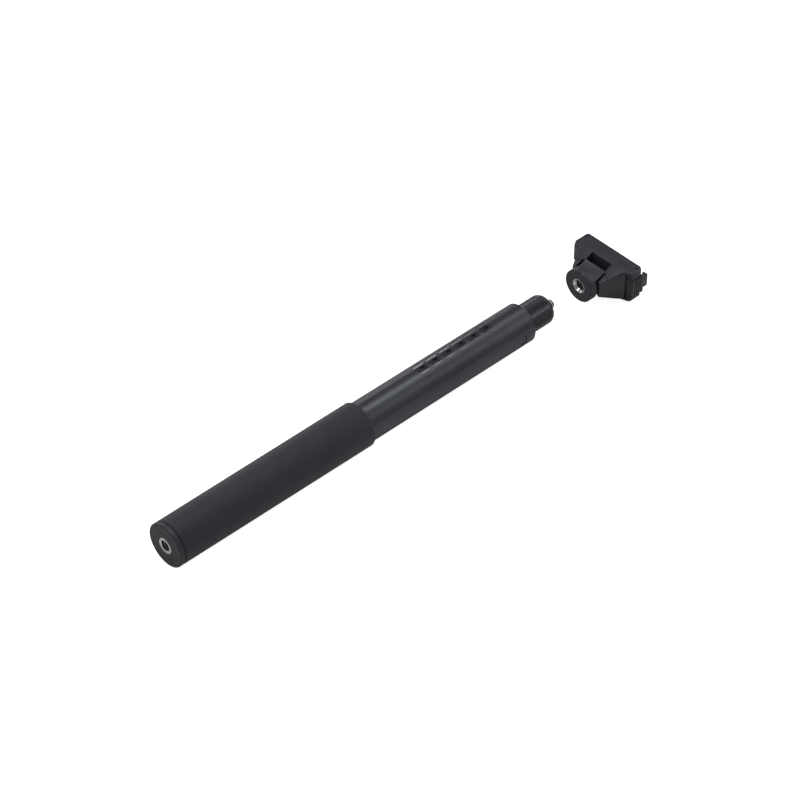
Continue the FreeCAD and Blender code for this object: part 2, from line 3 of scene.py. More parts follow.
import bpy
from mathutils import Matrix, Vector


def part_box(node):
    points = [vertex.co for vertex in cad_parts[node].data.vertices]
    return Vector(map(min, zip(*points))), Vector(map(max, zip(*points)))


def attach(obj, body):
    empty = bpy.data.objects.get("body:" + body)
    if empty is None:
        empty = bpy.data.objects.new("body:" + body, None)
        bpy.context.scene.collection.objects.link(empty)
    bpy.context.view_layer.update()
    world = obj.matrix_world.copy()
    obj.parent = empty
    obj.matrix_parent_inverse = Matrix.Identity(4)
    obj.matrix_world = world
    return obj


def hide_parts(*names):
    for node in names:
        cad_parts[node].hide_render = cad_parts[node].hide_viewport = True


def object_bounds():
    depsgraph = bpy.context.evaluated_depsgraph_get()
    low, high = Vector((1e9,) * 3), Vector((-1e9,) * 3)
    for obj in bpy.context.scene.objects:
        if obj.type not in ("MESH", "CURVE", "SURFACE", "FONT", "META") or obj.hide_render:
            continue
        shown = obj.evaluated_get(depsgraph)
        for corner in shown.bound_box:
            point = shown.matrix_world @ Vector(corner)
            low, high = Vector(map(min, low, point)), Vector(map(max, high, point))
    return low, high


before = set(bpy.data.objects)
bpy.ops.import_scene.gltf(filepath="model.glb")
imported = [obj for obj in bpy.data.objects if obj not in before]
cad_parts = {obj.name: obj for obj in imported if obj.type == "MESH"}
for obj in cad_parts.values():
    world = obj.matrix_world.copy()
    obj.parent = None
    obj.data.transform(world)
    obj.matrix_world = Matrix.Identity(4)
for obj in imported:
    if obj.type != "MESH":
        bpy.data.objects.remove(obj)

cad_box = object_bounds()

# The view. The rod lies on the floor and is seen from behind its base, on its right side and from above,
# through a long lens.
look_down = 42.47
look_round = -42.99
camera_data = bpy.data.cameras.new("camera")
camera_data.lens = 135
camera_data.sensor_width = 36
camera_data.clip_end = 20
camera = bpy.data.objects.new("camera", camera_data)
bpy.context.scene.collection.objects.link(camera)
camera.rotation_euler = (radians(90 - look_down), 0, radians(look_round))
camera.location = (-0.69988, -0.94071, 1.17589)
bpy.context.scene.camera = camera

# The floor is a plain pale sheet under the grip's lowest point. It glows a little to the camera alone, which
# keeps it white beside the dark rod. Three soft boxes light the rod: a wide one low down on its far side,
# for the bright line along the tube, one overhead, and a weak one beyond its head.
floor_z = cad_box[0][2]
floor_glow = 0.9
bpy.ops.mesh.primitive_plane_add(size=8, location=(0.2, 0, floor_z))
floor = bpy.context.object
floor.name = "floor"
paint = bpy.data.materials.new("floor_paint")
paint.use_nodes = True
paint_shader = paint.node_tree.nodes["Principled BSDF"]
paint_shader.inputs["Base Color"].default_value = (0.8, 0.8, 0.8, 1)
paint_shader.inputs["Roughness"].default_value = 0.9
paint_shader.inputs["Specular IOR Level"].default_value = 0.1
paint_shader.inputs["Emission Color"].default_value = (1, 1, 1, 1)
glow = paint.node_tree.nodes.new("ShaderNodeMath")
glow.operation = "MULTIPLY"
glow.inputs[1].default_value = floor_glow
seen = paint.node_tree.nodes.new("ShaderNodeLightPath")
paint.node_tree.links.new(seen.outputs["Is Camera Ray"], glow.inputs[0])
paint.node_tree.links.new(glow.outputs["Value"], paint_shader.inputs["Emission Strength"])
floor.data.materials.append(paint)


def soft_box(name, away, height, turn, size, power):
    """A soft rectangular light, aimed at the rod's middle and turned round it from its far side."""
    rod_middle = Vector((0.18, 0, 0))
    light = bpy.data.lights.new(name, "AREA")
    light.shape = "RECTANGLE"
    light.size, light.size_y = size
    light.energy = power
    box = bpy.data.objects.new(name, light)
    bpy.context.scene.collection.objects.link(box)
    box.location = rod_middle + Vector((away * sin(radians(turn)), away * cos(radians(turn)), height))
    box.rotation_euler = (rod_middle - box.location).to_track_quat("-Z", "Y").to_euler()


soft_box("light_back", away=1.9, height=0.72, turn=0, size=(2.6, 0.5), power=10.5)
soft_box("light_top", away=0.2, height=1.7, turn=0, size=(2.2, 0.6), power=14.5)
soft_box("light_head", away=1.5, height=0.8, turn=115, size=(1.0, 1.0), power=5.5)
world = bpy.data.worlds.new("studio")
world.use_nodes = True
world.node_tree.nodes["Background"].inputs["Color"].default_value = (0.95, 0.97, 1, 1)
world.node_tree.nodes["Background"].inputs["Strength"].default_value = 0.21
bpy.context.scene.world = world
bpy.context.scene.view_settings.view_transform = "Standard"


# Outer tube: drawn aluminium, 25.5 mm across, blasted and anodised in charcoal. Its mouth is necked in over
# the first inner tube, and the edge is turned to a small chamfer afterwards, which leaves it bright.
def lone_point(name):
    """A mesh of one point at the origin, open for editing, from which an outline is drawn."""
    bpy.ops.object.select_all(action="DESELECT")
    bpy.ops.mesh.primitive_plane_add(size=0.001)
    point = bpy.context.object
    point.name = name
    bpy.ops.object.mode_set(mode="EDIT")
    bpy.ops.mesh.select_all(action="SELECT")
    bpy.ops.mesh.merge(type="CENTER")
    return point


def turned(name, outline, steps=96, weld=1e-6):
    """A piece turned about the rod's axis: its outline, in (along, radius), is drawn and then spun."""
    piece = lone_point(name)
    along, radius = outline[0]
    bpy.ops.transform.translate(value=(along, 0, radius))
    for next_along, next_radius in outline[1:] + outline[:1]:
        step = (next_along - along, 0, next_radius - radius)
        bpy.ops.mesh.extrude_region_move(TRANSFORM_OT_translate={"value": step})
        along, radius = next_along, next_radius
    bpy.ops.mesh.select_all(action="SELECT")
    bpy.ops.mesh.remove_doubles(threshold=weld)
    bpy.ops.mesh.select_all(action="SELECT")
    bpy.ops.mesh.spin(steps=steps, angle=2 * pi, center=(0, 0, 0), axis=(1, 0, 0))
    bpy.ops.mesh.select_all(action="SELECT")
    bpy.ops.mesh.remove_doubles(threshold=weld)
    bpy.ops.mesh.select_all(action="SELECT")
    bpy.ops.mesh.normals_make_consistent(inside=False)
    bpy.ops.object.mode_set(mode="OBJECT")
    return piece


def finish_of(name, color, roughness, metallic=0.0, specular=0.5):
    """A new material with its shader's plain values set."""
    finish = bpy.data.materials.new(name)
    finish.use_nodes = True
    shader = finish.node_tree.nodes["Principled BSDF"]
    shader.inputs["Base Color"].default_value = (*color, 1)
    shader.inputs["Roughness"].default_value = roughness
    shader.inputs["Metallic"].default_value = metallic
    shader.inputs["Specular IOR Level"].default_value = specular
    return finish


def node(finish, kind, **values):
    """A node of that kind in the material, with its inputs set by name."""
    made = finish.node_tree.nodes.new(kind)
    for key, value in values.items():
        made.inputs[key].default_value = value
    return made


def join(finish, source, output, target, socket):
    """A link from one node's output to another's input."""
    finish.node_tree.links.new(source.outputs[output], target.inputs[socket])


def grain(finish, scale, stretch=(1, 1, 1), detail=4.0):
    """Noise on the piece's own coordinates, finer for a larger scale, drawn out along any axis."""
    place = node(finish, "ShaderNodeTexCoord")
    mapping = node(finish, "ShaderNodeMapping")
    mapping.inputs["Scale"].default_value = stretch
    noise = node(finish, "ShaderNodeTexNoise", Scale=scale, Detail=detail)
    join(finish, place, "Object", mapping, "Vector")
    join(finish, mapping, "Vector", noise, "Vector")
    return noise


noise_low = 0.3        # the noise hardly leaves the range between these two
noise_high = 0.7


def roughened(finish, noise, low, high):
    """The noise changes the roughness between two values."""
    spread = node(finish, "ShaderNodeMapRange", **{"To Min": low, "To Max": high})
    spread.inputs["From Min"].default_value = noise_low
    spread.inputs["From Max"].default_value = noise_high
    join(finish, noise, "Fac", spread, "Value")
    join(finish, spread, "Result", finish.node_tree.nodes["Principled BSDF"], "Roughness")


def mottled(finish, noise, dark, light):
    """The noise changes the colour between two shades."""
    ramp = node(finish, "ShaderNodeValToRGB")
    ramp.color_ramp.elements[0].position = noise_low
    ramp.color_ramp.elements[0].color = (*dark, 1)
    ramp.color_ramp.elements[1].position = noise_high
    ramp.color_ramp.elements[1].color = (*light, 1)
    join(finish, noise, "Fac", ramp, "Fac")
    join(finish, ramp, "Color", finish.node_tree.nodes["Principled BSDF"], "Base Color")


def embossed(finish, noise, strength, depth):
    """The noise raises and lowers the surface by up to depth, in metres."""
    bump = node(finish, "ShaderNodeBump", Strength=strength, Distance=depth)
    join(finish, noise, "Fac", bump, "Height")
    join(finish, bump, "Normal", finish.node_tree.nodes["Principled BSDF"], "Normal")


def anodised(name, dark, light, roughness):
    """Blasted and dyed aluminium: a fine grain under a satin shine, drawn out a little along the tube."""
    finish = finish_of(name, light, roughness, metallic=0.85)
    cloud = grain(finish, 60, (0.3, 1, 1))
    mottled(finish, cloud, dark, light)
    roughened(finish, grain(finish, 900, (0.2, 1, 1)), roughness - 0.04, roughness + 0.05)
    embossed(finish, grain(finish, 5200, detail=2.0), 0.25, 0.00003)
    return finish


def bright_metal(name, color, roughness):
    """Machined metal, with tool marks drawn out round the piece."""
    finish = finish_of(name, color, roughness, metallic=1.0)
    marks = grain(finish, 2500, (1, 0.05, 0.05))
    roughened(finish, marks, roughness - 0.08, roughness + 0.1)
    embossed(finish, marks, 0.2, 0.00002)
    return finish


def coated(piece, *finishes):
    """Gives a piece these materials in place of any it has."""
    piece.data.materials.clear()
    for finish in finishes:
        piece.data.materials.append(finish)


def from_axis(place):
    """How far a place is from the rod's axis."""
    return sqrt(place.y ** 2 + place.z ** 2)


tube_low, tube_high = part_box("outer_tube")
tube_radius = tube_high.z
tube_bore = 0.01195
mouth = tube_high.x
neck_back = mouth - 0.024
neck_bore = 0.0113
neck_lead_in = 0.0002
mouth_chamfer = 0.0006
flat_end = 0.9         # a face that looks along the rod more than this is the flat end
tube_finish = anodised("tube_anodised", (0.07, 0.073, 0.083), (0.09, 0.094, 0.105), 0.36)
outer_tube = turned("outer_tube_turned", [
    (tube_low.x, tube_bore), (tube_low.x, tube_radius), (mouth - mouth_chamfer, tube_radius),
    (mouth, tube_radius - mouth_chamfer), (mouth, neck_bore + neck_lead_in),
    (mouth - neck_lead_in, neck_bore), (neck_back, neck_bore), (neck_back, tube_bore),
], steps=160)
bpy.ops.object.shade_smooth_by_angle(angle=radians(30))
bare_edge = bright_metal("bare_aluminium", (0.55, 0.56, 0.58), 0.3)
coated(outer_tube, tube_finish, bare_edge)
for face in outer_tube.data.polygons:
    face.material_index = int(mouth - mouth_chamfer < face.center.x < mouth and face.normal.x < flat_end)
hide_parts("outer_tube")
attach(outer_tube, "handle")


# Base cap: moulded in dark nylon with a fine spark-eroded texture, with a rounded rim and a shadow groove in
# front of the grip. It is glued into the tube, and its middle is moulded round the steel socket.
def moulded(name, dark, light, roughness):
    """Plastic from a finely eroded mould: a pebbled bump that breaks up the shine."""
    finish = finish_of(name, light, roughness, specular=0.45)
    mottled(finish, grain(finish, 140), dark, light)
    pebbles = grain(finish, 2600, detail=3.0)
    roughened(finish, pebbles, roughness - 0.06, roughness + 0.08)
    embossed(finish, pebbles, 0.35, 0.00004)
    return finish


cap_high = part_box("base_cap")[1]
cap_radius = cap_high.z
socket_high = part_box("tripod_socket_insert")[1]
socket_radius = socket_high.z
socket_depth = 0.012
flange = 0.0028
flange_edge = 0.00015
rim = 0.0009
rim_angles = [radians(a) for a in range(0, 91, 18)]
rim_arc = [(rim * (1 - cos(a)), cap_radius - rim * (1 - sin(a))) for a in rim_angles]
groove_radius = 0.0133
spigot_radius = tube_bore - 0.00005
dish_depth = 0.00012
dish_slope = 0.0002
dish_inner = socket_radius + 0.0035
dish_outer = cap_radius - 0.0019
base_cap = turned("base_cap_moulded", [
    (0, socket_radius), (0, dish_inner), (dish_depth, dish_inner + dish_slope),
    (dish_depth, dish_outer - dish_slope), (0, dish_outer), *rim_arc,
    (flange - flange_edge, cap_radius), (flange, cap_radius - flange_edge), (flange, groove_radius),
    (tube_low.x, groove_radius), (tube_low.x, spigot_radius), (cap_high.x, spigot_radius), (cap_high.x, 0),
    (socket_depth, 0), (socket_depth, socket_radius),
], steps=144)
bpy.ops.object.shade_smooth_by_angle(angle=radians(30))
cap_finish = moulded("cap_plastic", (0.0266, 0.0287, 0.0338), (0.0342, 0.0366, 0.0433), 0.5)
coated(base_cap, cap_finish)
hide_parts("base_cap")
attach(base_cap, "handle")


# Tripod socket: a steel insert turned on a lathe and tapped with the quarter-inch camera thread, twenty
# turns to the inch. Its end is faced flat, with a countersink that leads the screw in.
pitch = 0.0254 / 20
thread_depth = 0.00055
flank = 0.375 * pitch
flat = 0.125 * pitch


def threaded(name, start, turns, crest, root, inside):
    """One ridge of thread as a ribbon, wound along the rod's axis by the Screw modifier."""
    ribbon = lone_point(name)
    bpy.ops.transform.translate(value=(start, 0, root))
    for step in ((flank, 0, crest - root), (flat, 0, 0), (flank, 0, root - crest), (flat, 0, 0)):
        bpy.ops.mesh.extrude_region_move(TRANSFORM_OT_translate={"value": step})
    bpy.ops.object.mode_set(mode="OBJECT")
    wind = ribbon.modifiers.new("wind", "SCREW")
    wind.axis = "X"
    wind.screw_offset = pitch
    wind.iterations = turns
    wind.steps = 40
    wind.render_steps = 40
    wind.use_merge_vertices = True
    wind.merge_threshold = 1e-6
    bpy.ops.object.modifier_apply(modifier="wind")
    bpy.ops.object.mode_set(mode="EDIT")
    bpy.ops.mesh.select_all(action="SELECT")
    bpy.ops.mesh.remove_doubles(threshold=2e-6)
    bpy.ops.mesh.select_all(action="SELECT")
    bpy.ops.mesh.normals_make_consistent(inside=inside)
    bpy.ops.object.mode_set(mode="OBJECT")
    bpy.ops.object.shade_smooth_by_angle(angle=radians(40))
    return ribbon


steel = bright_metal("bright_steel", (0.66, 0.66, 0.67), 0.27)
# The bores and their threads take a darker steel: painted shade for the inside of the holes.
painted_shade_steel = bright_metal("painted_shade_steel", (0.16, 0.16, 0.165), 0.4)
socket_bore = 0.0034
socket_edge = 0.0002
countersink = 0.0003
inner_crest = 0.00285
inner_root = 0.00341
socket_shell = turned("socket_shell", [
    (0, socket_bore + countersink), (0, socket_radius - socket_edge), (socket_edge, socket_radius),
    (socket_depth, socket_radius), (socket_depth, socket_bore), (countersink, socket_bore),
])
bpy.ops.object.shade_smooth_by_angle(angle=radians(30))
coated(socket_shell, steel, painted_shade_steel)
# The bore's faces past the countersink take the darker steel, as painted shade.
for face in socket_shell.data.polygons:
    in_bore = from_axis(face.center) < socket_bore + countersink
    face.material_index = int(face.center.x > countersink and in_bore)
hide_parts("tripod_socket_insert")
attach(socket_shell, "handle")
socket_thread = threaded("socket_thread", 2 * countersink, turns=8, crest=inner_crest, root=inner_root,
                         inside=True)
# The thread is in the darker steel too, as painted shade in the hole.
coated(socket_thread, painted_shade_steel)
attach(socket_thread, "handle")


# End bumper: a soft plug, moulded in rubber and glued on the inside of the cap, where the closed tubes come
# to rest against it.
def rubber(name, dark, light, roughness):
    """Cured rubber: matte, a little cloudy, with a fine stipple from its mould and a faint bloom."""
    finish = finish_of(name, light, roughness, specular=0.3)
    mottled(finish, grain(finish, 45), dark, light)
    stipple = grain(finish, 1800, detail=3.0)
    roughened(finish, stipple, roughness - 0.05, roughness + 0.06)
    embossed(finish, stipple, 0.4, 0.00005)
    shader = finish.node_tree.nodes["Principled BSDF"]
    shader.inputs["Sheen Weight"].default_value = 0.12
    shader.inputs["Sheen Roughness"].default_value = 0.5
    return finish


def as_made(cad_node, finish):
    """A CAD piece whose shape is right as it is, with its own finish."""
    coated(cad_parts[cad_node], finish)


bumper_finish = rubber("bumper_rubber", (0.0285, 0.0297, 0.0327), (0.0427, 0.0445, 0.0485), 0.8)
as_made("end_bumper", bumper_finish)


# Grip: a rubber sleeve pulled over the back half of the tube. Its wall is a little thicker towards the
# front, and both ends are rounded over.
grip_low, grip_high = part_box("grip_sleeve")
grip_round = 0.0009
grip_back = 0.014
grip_front = grip_high.z
grip_inside = tube_radius + 0.00002
grip_outline = [(grip_low.x, grip_inside)]
for angle in range(0, 91, 15):
    less_along = grip_round * (1 - cos(radians(angle)))
    less_out = grip_round * (1 - sin(radians(angle)))
    grip_outline.append((grip_low.x + less_along, grip_back - less_out))
for angle in range(0, 91, 15):
    less_along = grip_round * (1 - sin(radians(angle)))
    less_out = grip_round * (1 - cos(radians(angle)))
    grip_outline.append((grip_high.x - less_along, grip_front - less_out))
grip_outline.append((grip_high.x, grip_inside))
grip = turned("grip_sleeve_rubber", grip_outline, steps=160)
bpy.ops.object.shade_smooth_by_angle(angle=radians(35))
grip_finish = rubber("grip_rubber", (0.0247, 0.0267, 0.0327), (0.0294, 0.0317, 0.038), 0.58)
coated(grip, grip_finish)
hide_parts("grip_sleeve")
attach(grip, "handle")


# Tube marks: a row of plain rounded bars, polished through the anodising with a dark dot printed on each,
# and an angle-shaped index mark on the side near the mouth. Each is cut from a thin skin of the tube.
def picked(piece):
    """Leaves this piece alone selected and active."""
    bpy.ops.object.select_all(action="DESELECT")
    piece.select_set(True)
    bpy.context.view_layer.objects.active = piece


def inlaid(name, blocks, from_x, to_x, proud):
    """The parts of a thin skin on the tube that lie inside the blocks."""
    skin_inside = tube_radius - 0.00004
    skin_outside = tube_radius + proud
    skin = turned(name, [(from_x, skin_inside), (from_x, skin_outside),
                         (to_x, skin_outside), (to_x, skin_inside)], steps=240)
    cut = skin.modifiers.new("cut", "BOOLEAN")
    cut.operation = "INTERSECT"
    cut.solver = "EXACT"
    cut.use_self = True
    cut.object = blocks
    bpy.context.view_layer.objects.active = skin
    bpy.ops.object.modifier_apply(modifier="cut")
    bpy.data.objects.remove(blocks)
    bpy.ops.object.shade_smooth_by_angle(angle=radians(30))
    return skin


def block(name, size, place, corner=0.0):
    """A box of that size, its upright edges rounded."""
    bpy.ops.object.select_all(action="DESELECT")
    bpy.ops.mesh.primitive_cube_add(size=1, location=place)
    made = bpy.context.object
    made.name = name
    made.scale = size
    bpy.ops.object.transform_apply(location=True, rotation=True, scale=True)
    if corner:
        bpy.ops.object.mode_set(mode="EDIT")
        bpy.ops.mesh.select_all(action="DESELECT")
        bpy.ops.object.mode_set(mode="OBJECT")
        for edge in made.data.edges:
            one, two = (made.data.vertices[k].co for k in edge.vertices)
            edge.select = abs(one.z - two.z) > size[2] / 2
        bpy.ops.object.mode_set(mode="EDIT")
        bpy.ops.mesh.select_mode(type="EDGE")
        bpy.ops.mesh.bevel(offset=corner, segments=5, affect="EDGES")
        bpy.ops.mesh.select_mode(type="VERT")
        bpy.ops.object.mode_set(mode="OBJECT")
    return made


def joined(*objects):
    """Several objects as one, under the first one's name."""
    bpy.ops.object.select_all(action="DESELECT")
    for item in objects:
        item.select_set(True)
    bpy.context.view_layer.objects.active = objects[0]
    bpy.ops.object.join()
    return objects[0]


def turned_about_rod(piece, degrees):
    """Turns a piece about the rod's axis, from the top towards the right side."""
    picked(piece)
    piece.rotation_euler = (radians(degrees), 0, 0)
    bpy.ops.object.transform_apply(location=False, rotation=True, scale=False)
    return piece


def marked(name, blocks, degrees, from_x, to_x, proud, finish):
    """A mark on the tube, from blocks that stand on its top and are then turned round to its place."""
    mark = inlaid(name, turned_about_rod(joined(*blocks), degrees), from_x, to_x, proud)
    coated(mark, finish)
    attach(mark, "handle")


polished = finish_of("polished_bar", (0.1, 0.103, 0.112), 0.14, metallic=0.85)
polish_lines = grain(polished, 1500, (1, 0.1, 0.1))
roughened(polished, polish_lines, 0.1, 0.2)
mottled(polished, polish_lines, (0.085, 0.088, 0.096), (0.115, 0.118, 0.128))
dark_print = finish_of("dark_print", (0.005, 0.005, 0.006), 0.6, specular=0.08)
print_grain = grain(dark_print, 2200)
roughened(dark_print, print_grain, 0.5, 0.7)
mottled(dark_print, print_grain, (0.004, 0.004, 0.005), (0.008, 0.008, 0.009))
block_height = 0.004
first_bar = 0.1945
bar_pitch = 0.0103
bar_middles = [first_bar + bar_pitch * k for k in range(6)]
bar_size = (0.0076, 0.0092, block_height)
bar_corner = 0.0018
bar_turn = -6
row_start = 0.188
row_end = 0.254
bar_proud = 0.00003
bars = [block(f"bar_{k}", bar_size, (middle, 0, tube_radius), bar_corner)
        for k, middle in enumerate(bar_middles)]
marked("tube_bars", bars, bar_turn, row_start, row_end, bar_proud, polished)
dot_size = (0.0034, 0.0020, block_height)
dot_corner = 0.0009
dot_turn = -2.5
dot_ahead = 0.0008     # of the bar's middle
dots = [block(f"dot_{k}", dot_size, (middle + dot_ahead, 0, tube_radius), dot_corner)
        for k, middle in enumerate(bar_middles)]
marked("tube_bar_dots", dots, dot_turn, row_start, row_end, 2 * bar_proud, dark_print)
angle_corner = mouth - 0.0084
angle_line = 0.0010
angle_along = 0.0046
angle_across = 0.0054
angle_turn = 92
angle_mark = [
    block("angle_long", (angle_along, angle_line, block_height),
          (angle_corner + (angle_line - angle_along) / 2, (angle_line - angle_across) / 2, tube_radius)),
    block("angle_short", (angle_line, angle_across, block_height), (angle_corner, 0, tube_radius))]
marked("tube_index_mark", angle_mark, angle_turn, mouth - 0.014, mouth - 0.006, bar_proud, dark_print)


# Inner tubes: six thinner tubes, each drawn to slide in the one outside it, anodised like the outer one. The
# mouth of each is necked in over the next. A plastic bush and a split bronze ring on each back end guide it.
inner_finish = anodised("section_anodised", (0.07, 0.072, 0.082), (0.088, 0.091, 0.102), 0.33)
acetal = moulded("bush_acetal", (0.62, 0.61, 0.57), (0.7, 0.69, 0.65), 0.42)
bronze = bright_metal("ring_bronze", (0.6, 0.4, 0.2), 0.32)
section_wall = 0.0005
section_edge = 0.0003
section_lead_in = 0.0001
sliding_gap = 0.00005
innermost = 7
for k in range(2, innermost + 1):
    low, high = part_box(f"section_{k}_tube")
    wall_inside = high.z - section_wall
    outline = [(low.x, wall_inside), (low.x, high.z), (mouth - section_edge, high.z),
               (mouth, high.z - section_edge)]
    if k < innermost:
        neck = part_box(f"section_{k + 1}_tube")[1].z + sliding_gap
        outline += [(mouth, neck + section_lead_in), (mouth - section_lead_in, neck),
                    (neck_back, neck), (neck_back, wall_inside)]
    else:
        outline.append((mouth, wall_inside))
    tube = turned(f"section_{k}_tube_drawn", outline, steps=128)
    bpy.ops.object.shade_smooth_by_angle(angle=radians(30))
    coated(tube, inner_finish)
    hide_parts(f"section_{k}_tube")
    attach(tube, f"section_{k}")
    as_made(f"section_{k}_bush", acetal)
    as_made(f"section_{k}_friction_ring", bronze)


# Head ferrule: a turned aluminium plug, pressed into the last tube. The knurled wheel runs on its journal
# and hides it.
plain_aluminium = bright_metal("ferrule_aluminium", (0.6, 0.61, 0.63), 0.34)
as_made("head_ferrule", plain_aluminium)


# Knurled wheel: turned aluminium, anodised black, with a diamond knurl rolled into it that fingers can turn.
# The front edge is chamfered after knurling, and the face is plain round the stud.
wheel_low, wheel_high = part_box("knurled_wheel")
wheel_face = wheel_high.x
knurl_rows = 10
knurl_columns = 36
knurl_height = 0.00048
knurl_root = wheel_high.z - 0.0005
knurl_from = wheel_low.x + 0.0006
knurl_to = wheel_face - 0.0016
row_places = [knurl_from + (knurl_to - knurl_from) * k / knurl_rows for k in range(knurl_rows + 1)]
plain_strip = 0.0001
band_end = 0.00001     # an edge nearer than this to an end of the band belongs to the end
flat_dip = 0.0001      # the middle of a flat face lies less than this inside the circle
journal_bore = 0.00605
back_edge = knurl_root - 0.0003
face_edge = wheel_high.z - 0.0014
edge_break = 0.0001
face_sunk = wheel_face - 0.0003
web_back = wheel_face - 0.0065
flange_front = wheel_face - 0.003
flange_radius = 0.0046
shoulder = 0.0036
recess_floor = shoulder + 0.0009
recess_mouth = shoulder + 0.0011
wheel = turned("knurled_wheel_turned", [
    (wheel_low.x, journal_bore), (wheel_low.x, back_edge), (knurl_from - plain_strip, knurl_root),
    *[(row_place, knurl_root) for row_place in row_places],
    (knurl_to + plain_strip, knurl_root), (wheel_face - edge_break, face_edge + 2 * edge_break),
    (wheel_face, face_edge), (wheel_face, recess_mouth), (face_sunk, recess_floor), (face_sunk, shoulder),
    (flange_front, shoulder), (flange_front, flange_radius), (web_back, flange_radius),
    (web_back, journal_bore),
], steps=knurl_columns)


def in_knurl(face):
    """True for a face in the knurled band of the wheel's outside."""
    return knurl_from < face.center.x < knurl_to and from_axis(face.center) > knurl_root - flat_dip


# Each four-sided face of the band is split from its middle, the rows' own edges are dissolved, and so the
# faces become diamonds. Raising the middle of each diamond makes the knurl's points.
bpy.ops.object.mode_set(mode="EDIT")
bpy.ops.mesh.select_mode(type="FACE")
bpy.ops.mesh.select_all(action="DESELECT")
bpy.ops.object.mode_set(mode="OBJECT")
for face in wheel.data.polygons:
    face.select = in_knurl(face)
bpy.ops.object.mode_set(mode="EDIT")
bpy.ops.mesh.mark_seam(clear=False)
bpy.ops.mesh.poke(offset=0.0)
bpy.ops.mesh.select_mode(type="EDGE")
bpy.ops.mesh.select_all(action="DESELECT")
bpy.ops.object.mode_set(mode="OBJECT")
for edge in wheel.data.edges:
    middle = (wheel.data.vertices[edge.vertices[0]].co + wheel.data.vertices[edge.vertices[1]].co) / 2
    edge.select = edge.use_seam and knurl_from + band_end < middle.x < knurl_to - band_end
bpy.ops.object.mode_set(mode="EDIT")
bpy.ops.mesh.dissolve_edges(use_verts=False)
bpy.ops.mesh.select_mode(type="FACE")
bpy.ops.mesh.select_all(action="DESELECT")
bpy.ops.object.mode_set(mode="OBJECT")
for face in wheel.data.polygons:
    face.select = len(face.vertices) == 4 and in_knurl(face)
bpy.ops.object.mode_set(mode="EDIT")
bpy.ops.mesh.poke(offset=knurl_height)
bpy.ops.mesh.mark_seam(clear=True)
bpy.ops.mesh.select_mode(type="VERT")
bpy.ops.object.mode_set(mode="OBJECT")
wheel_finish = anodised("wheel_anodised", (0.075, 0.077, 0.084), (0.105, 0.107, 0.115), 0.33)
coated(wheel, wheel_finish)
bpy.ops.object.shade_smooth_by_angle(angle=radians(12))
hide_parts("knurled_wheel")
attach(wheel, "thumbwheel")


# Camera stud: a steel screw with the quarter-inch thread. Its flange is pressed into the wheel and its shank
# goes back through the ferrule. A clip and a sprung washer on it keep the wheel in place without rattle.
def kept_under(piece, limit):
    """Turns down whatever stands proud of a limiting radius, which depends on the place along the rod."""
    for vertex in piece.data.vertices:
        radius = from_axis(vertex.co)
        most = limit(vertex.co.x)
        if radius > most:
            vertex.co.y *= most / radius
            vertex.co.z *= most / radius


stud_low, stud_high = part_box("camera_stud")
shank = 0.00255
clip_groove = 0.002
clip_low, clip_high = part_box("stud_clip")
groove_back = clip_low.x - sliding_gap
groove_front = clip_high.x + sliding_gap
flange_back = web_back + 0.0004
shoulder_end = wheel_face + 0.00005
shoulder_edge = 0.0001
stud_crest = 0.0031
stud_root = stud_crest - thread_depth
tip_length = 0.0003
tip_radius = stud_root - 0.0004
stud = turned("camera_stud_turned", [
    (stud_low.x, 0), (stud_low.x, shank), (groove_back, shank), (groove_back, clip_groove),
    (groove_front, clip_groove), (groove_front, shank), (flange_back, shank), (flange_back, flange_radius),
    (flange_front, flange_radius), (flange_front, shoulder),
    (shoulder_end - shoulder_edge, shoulder), (shoulder_end, shoulder - shoulder_edge),
    (shoulder_end, stud_root), (stud_high.x - tip_length, stud_root), (stud_high.x, tip_radius),
    (stud_high.x, 0),
], steps=72)
bpy.ops.object.shade_smooth_by_angle(angle=radians(30))
coated(stud, steel)
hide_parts("camera_stud")
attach(stud, "thumbwheel")
stud_thread_start = wheel_face - 0.0005
stud_thread_end = stud_high.x - 0.0002
stud_thread = threaded("stud_thread", stud_thread_start, turns=6, crest=stud_crest,
                       root=stud_root - 0.00002, inside=False)
taper_slope = 0.8
taper_end = stud_root - 0.0002


def stud_taper(along):
    """The thread runs out into the stud's root towards its end."""
    return max(min(stud_crest, stud_root + taper_slope * (stud_thread_end - along)), taper_end)


kept_under(stud_thread, stud_taper)
for vertex in stud_thread.data.vertices:
    vertex.co.x = min(vertex.co.x, stud_thread_end)
coated(stud_thread, steel)
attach(stud_thread, "thumbwheel")
spring_steel = bright_metal("spring_steel", (0.45, 0.45, 0.46), 0.33)
as_made("stud_clip", spring_steel)
as_made("spring_washer", spring_steel)


# Adapter body: glass-filled nylon. A round boss takes the stud, a core slopes up between the levers, and a
# wide plate carries the camera. Every outside edge has the small radius of its mould.
def broken_edges(piece, width):
    """Rounds every sharp edge of a piece a little, and shades it smooth between its sharp edges."""
    picked(piece)
    bevel = piece.modifiers.new("broken_edges", "BEVEL")
    bevel.width = width
    bevel.segments = 3
    bevel.limit_method = "ANGLE"
    bevel.angle_limit = radians(25)
    bpy.ops.object.modifier_apply(modifier="broken_edges")
    bpy.ops.object.shade_smooth_by_angle(angle=radians(35))


